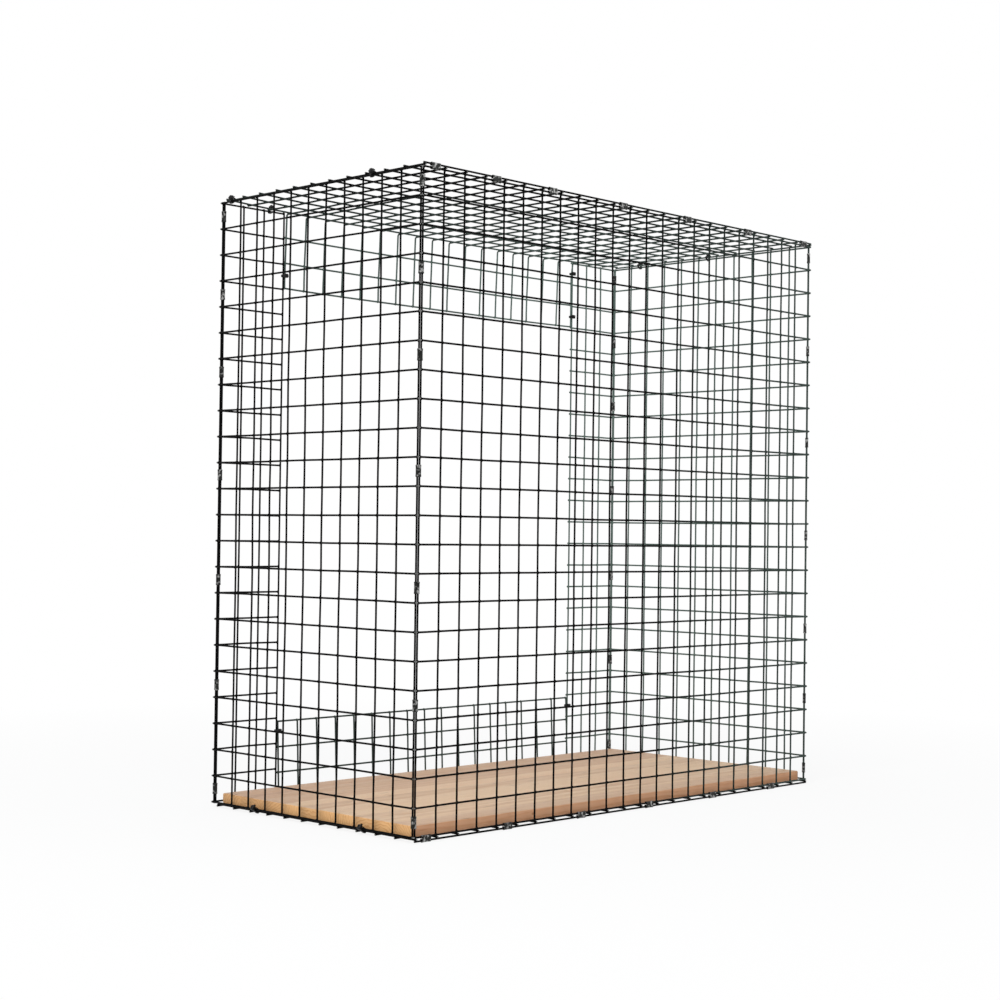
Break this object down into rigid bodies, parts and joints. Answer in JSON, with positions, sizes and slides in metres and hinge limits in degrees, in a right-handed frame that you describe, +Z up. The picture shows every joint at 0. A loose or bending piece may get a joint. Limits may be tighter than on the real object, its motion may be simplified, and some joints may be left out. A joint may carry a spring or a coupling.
{
  "type": "window box catio",
  "caption": "Box cage of black welded wire mesh for a window, open at the back inside a mesh flange, with clipped and tied edges and a loose wooden floor board.",
  "frame": {"origin": "the middle of the cage's width and depth, at the height of the lowest clips that it stands on", "axes": "+X along the front to the right as seen from outside, +Y from the front to the window, +Z up"},
  "size_m": [0.6, 0.2896, 0.5961],
  "materials": {
    "wire_coating": "black vinyl-coated galvanised wire, satin",
    "clip_steel": "dark galvanised strip with a bright cut seam",
    "tie_nylon": "black nylon, moulded",
    "board_wood": "bare sawn softwood, glued up from narrow planks"
  },
  "bodies": {
    "cage": {"front_panel": "wire_coating", "left_panel": "wire_coating", "right_panel": "wire_coating", "roof_panel": "wire_coating", "base_panel": "wire_coating", "left_flange": "wire_coating", "right_flange": "wire_coating", "top_flange": "wire_coating", "bottom_flange": "wire_coating", "front_left_clips": "clip_steel", "front_right_clips": "clip_steel", "rear_left_clips": "clip_steel", "rear_right_clips": "clip_steel", "top_front_clips": "clip_steel", "bottom_front_clips": "clip_steel", "top_left_ties": "tie_nylon", "top_right_ties": "tie_nylon", "bottom_left_ties": "tie_nylon", "bottom_right_ties": "tie_nylon", "top_left_seam_tie": "tie_nylon", "top_right_seam_ties": "tie_nylon", "bottom_left_seam_tie": "tie_nylon", "bottom_right_seam_tie": "tie_nylon", "rear_top_tie": "tie_nylon"},
    "floor": {"floor_plank_1": "board_wood", "floor_plank_2": "board_wood", "floor_plank_3": "board_wood", "floor_plank_4": "board_wood", "floor_plank_5": "board_wood", "floor_plank_6": "board_wood", "floor_plank_7": "board_wood", "floor_plank_8": "board_wood", "floor_plank_9": "board_wood", "floor_plank_10": "board_wood"}
  },
  "joints": [
    {"name": "floor_lift", "type": "slide", "parent": "cage", "child": "floor", "axis": [0, 0, 1], "range_m": [0, 0.572]}
  ]
}
